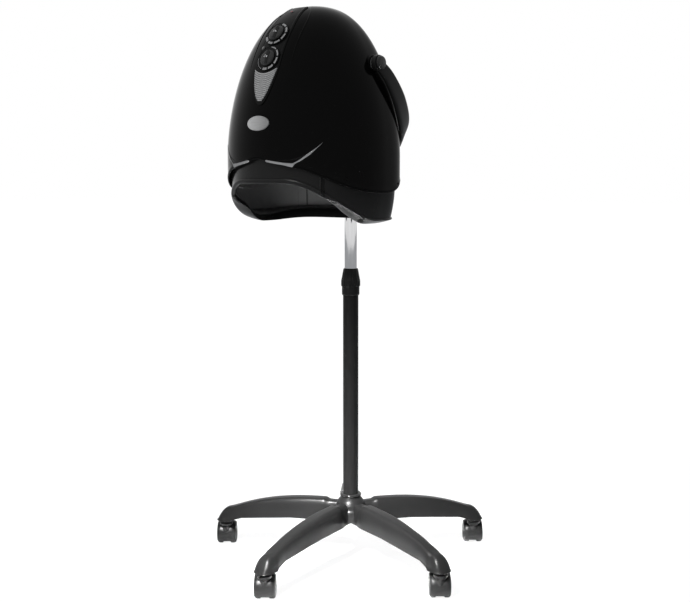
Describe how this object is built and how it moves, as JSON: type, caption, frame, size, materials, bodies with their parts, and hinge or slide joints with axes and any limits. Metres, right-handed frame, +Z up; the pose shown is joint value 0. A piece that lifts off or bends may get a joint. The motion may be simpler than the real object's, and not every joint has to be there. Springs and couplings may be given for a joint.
{
  "type": "hood hair dryer",
  "caption": "Hooded hair dryer: a glossy dome with dials, skirt and sliding visor, held by a fork on a height-adjustable column over a star base with casters.",
  "frame": {"origin": "on the floor under the column axis", "axes": "+Z up along the column, -Y the way the hood faces, +X the hood's left side"},
  "size_m": [0.6581, 0.6388, 1.224],
  "materials": {
    "gloss_black": "high gloss black ABS",
    "panel_black": "satin black",
    "scale_print": "black with grey print",
    "knob_black": "satin black",
    "smoked": "smoked dark grey",
    "silver_trim": "silver paint",
    "lamp_red": "red lens",
    "lamp_clear": "clear lens",
    "liner_grey": "satin dark grey",
    "chrome": "polished",
    "black_tube": "satin black powder coat",
    "fork_grey": "satin dark grey",
    "base_black": "moulded nylon, fine texture",
    "collar_grey": "satin grey",
    "caster_black": "moulded nylon",
    "white_nylon": "plain",
    "steel": "plain zinc plated",
    "fibre": "plain",
    "mica": "plain",
    "switch_body": "plain"
  },
  "bodies": {
    "base": {"star_base": "base_black", "hub_ring": "collar_grey", "base_bolt": "steel", "outer_tube": "black_tube", "clamp_socket": "base_black", "split_bush": "white_nylon", "caster_stems": "steel"},
    "clamp_collar": {"clamp_nut": "base_black"},
    "mast": {"chrome_tube": "chrome", "guide_bush": "white_nylon", "tube_cap": "base_black"},
    "fork_body": {"fork": "fork_grey", "friction_washers": "fibre"},
    "hood": {"pivot_bolts": "steel", "side_bosses": "gloss_black", "hood_shell": "gloss_black", "control_panel": "panel_black", "timer_scale": "scale_print", "heat_scale": "scale_print", "timer_unit": "switch_body", "heat_switch": "switch_body", "power_lamp": "lamp_red", "heat_lamp": "lamp_clear", "grille": "silver_trim", "badge": "silver_trim", "visor_guides": "panel_black", "side_skirt_left": "smoked", "side_skirt_right": "smoked", "rear_skirt": "smoked", "inner_liner": "liner_grey", "motor": "steel", "motor_mount": "steel", "heater": "mica", "thermal_cutout": "steel", "cord_gland": "panel_black", "skirt_screws": "steel"},
    "knob_left": {"hand_knob_left": "knob_black"},
    "knob_right": {"hand_knob_right": "knob_black"},
    "visor_body": {"visor": "smoked"},
    "timer_dial": {"timer_knob": "knob_black"},
    "heat_dial": {"heat_knob": "knob_black"},
    "blower": {"blower_wheel": "white_nylon"},
    "caster_1": {"caster_1_hood": "caster_black"},
    "wheel_1_a": {"wheel_1a": "caster_black"},
    "wheel_1_b": {"wheel_1b": "caster_black"},
    "caster_2": {"caster_2_hood": "caster_black"},
    "wheel_2_a": {"wheel_2a": "caster_black"},
    "wheel_2_b": {"wheel_2b": "caster_black"},
    "caster_3": {"caster_3_hood": "caster_black"},
    "wheel_3_a": {"wheel_3a": "caster_black"},
    "wheel_3_b": {"wheel_3b": "caster_black"},
    "caster_4": {"caster_4_hood": "caster_black"},
    "wheel_4_a": {"wheel_4a": "caster_black"},
    "wheel_4_b": {"wheel_4b": "caster_black"},
    "caster_5": {"caster_5_hood": "caster_black"},
    "wheel_5_a": {"wheel_5a": "caster_black"},
    "wheel_5_b": {"wheel_5b": "caster_black"}
  },
  "joints": [
    {"name": "column_slide", "type": "slide", "parent": "base", "child": "mast", "axis": [0, 0, 1], "range_m": [-0.12, 0.26]},
    {"name": "clamp_twist", "type": "hinge", "parent": "base", "child": "clamp_collar", "pos_m": [0, 0, 0.65], "axis": [0, 0, 1], "range_deg": [0, 180]},
    {"name": "fork_swivel", "type": "hinge", "parent": "mast", "child": "fork_body", "pos_m": [0, 0, 0.924], "axis": [0, 0, 1], "range_deg": [-170, 170]},
    {"name": "hood_tilt", "type": "hinge", "parent": "fork_body", "child": "hood", "pos_m": [0, -0.121, 1.1], "axis": [-1, 0, 0], "range_deg": [0, 35]},
    {"name": "knob_left_turn", "type": "hinge", "parent": "hood", "child": "knob_left", "pos_m": [0.17, -0.121, 1.1], "axis": [1, 0, 0], "range_deg": [0, 180]},
    {"name": "knob_right_turn", "type": "hinge", "parent": "hood", "child": "knob_right", "pos_m": [-0.17, -0.121, 1.1], "axis": [-1, 0, 0], "range_deg": [0, 180]},
    {"name": "visor_slide", "type": "slide", "parent": "hood", "child": "visor_body", "axis": [0, 0, 1], "range_m": [0, 0.045]},
    {"name": "timer_turn", "type": "hinge", "parent": "hood", "child": "timer_dial", "pos_m": [0, -0.2406, 1.156], "axis": [0, -0.8321, 0.5547], "range_deg": [-300, 0]},
    {"name": "heat_turn", "type": "hinge", "parent": "hood", "child": "heat_dial", "pos_m": [0, -0.26713, 1.106], "axis": [0, -0.9203, 0.3912], "range_deg": [-270, 0]},
    {"name": "blower_spin", "type": "hinge", "parent": "hood", "child": "blower", "pos_m": [0, -0.123, 1.104], "axis": [0, 0, 1], "continuous": true},
    {"name": "caster_1_swivel", "type": "hinge", "parent": "base", "child": "caster_1", "pos_m": [0.01298, -0.30973, 0.055], "axis": [0, 0, 1], "continuous": true},
    {"name": "wheel_1a_spin", "type": "hinge", "parent": "caster_1", "child": "wheel_1_a", "pos_m": [0.00202, -0.29545, 0.025], "axis": [-0.7934, -0.6088, 0], "continuous": true},
    {"name": "wheel_1b_spin", "type": "hinge", "parent": "caster_1", "child": "wheel_1_b", "pos_m": [0.00202, -0.29545, 0.025], "axis": [-0.7934, -0.6088, 0], "continuous": true},
    {"name": "caster_2_swivel", "type": "hinge", "parent": "base", "child": "caster_2", "pos_m": [0.29858, -0.08336, 0.055], "axis": [0, 0, 1], "continuous": true},
    {"name": "wheel_2a_spin", "type": "hinge", "parent": "caster_2", "child": "wheel_2_a", "pos_m": [0.28762, -0.06908, 0.025], "axis": [-0.7934, -0.6088, 0], "continuous": true},
    {"name": "wheel_2b_spin", "type": "hinge", "parent": "caster_2", "child": "wheel_2_b", "pos_m": [0.28762, -0.06908, 0.025], "axis": [-0.7934, -0.6088, 0], "continuous": true},
    {"name": "caster_3_swivel", "type": "hinge", "parent": "base", "child": "caster_3", "pos_m": [0.17155, 0.25821, 0.055], "axis": [0, 0, 1], "continuous": true},
    {"name": "wheel_3a_spin", "type": "hinge", "parent": "caster_3", "child": "wheel_3_a", "pos_m": [0.16059, 0.27249, 0.025], "axis": [-0.7934, -0.6088, 0], "continuous": true},
    {"name": "wheel_3b_spin", "type": "hinge", "parent": "caster_3", "child": "wheel_3_b", "pos_m": [0.16059, 0.27249, 0.025], "axis": [-0.7934, -0.6088, 0], "continuous": true},
    {"name": "caster_4_swivel", "type": "hinge", "parent": "base", "child": "caster_4", "pos_m": [-0.19256, 0.24294, 0.055], "axis": [0, 0, 1], "continuous": true},
    {"name": "wheel_4a_spin", "type": "hinge", "parent": "caster_4", "child": "wheel_4_a", "pos_m": [-0.20351, 0.25722, 0.025], "axis": [-0.7934, -0.6088, 0], "continuous": true},
    {"name": "wheel_4b_spin", "type": "hinge", "parent": "caster_4", "child": "wheel_4_b", "pos_m": [-0.20351, 0.25722, 0.025], "axis": [-0.7934, -0.6088, 0], "continuous": true},
    {"name": "caster_5_swivel", "type": "hinge", "parent": "base", "child": "caster_5", "pos_m": [-0.29056, -0.10806, 0.055], "axis": [0, 0, 1], "continuous": true},
    {"name": "wheel_5a_spin", "type": "hinge", "parent": "caster_5", "child": "wheel_5_a", "pos_m": [-0.30151, -0.09378, 0.025], "axis": [-0.7934, -0.6088, 0], "continuous": true},
    {"name": "wheel_5b_spin", "type": "hinge", "parent": "caster_5", "child": "wheel_5_b", "pos_m": [-0.30151, -0.09378, 0.025], "axis": [-0.7934, -0.6088, 0], "continuous": true}
  ]
}
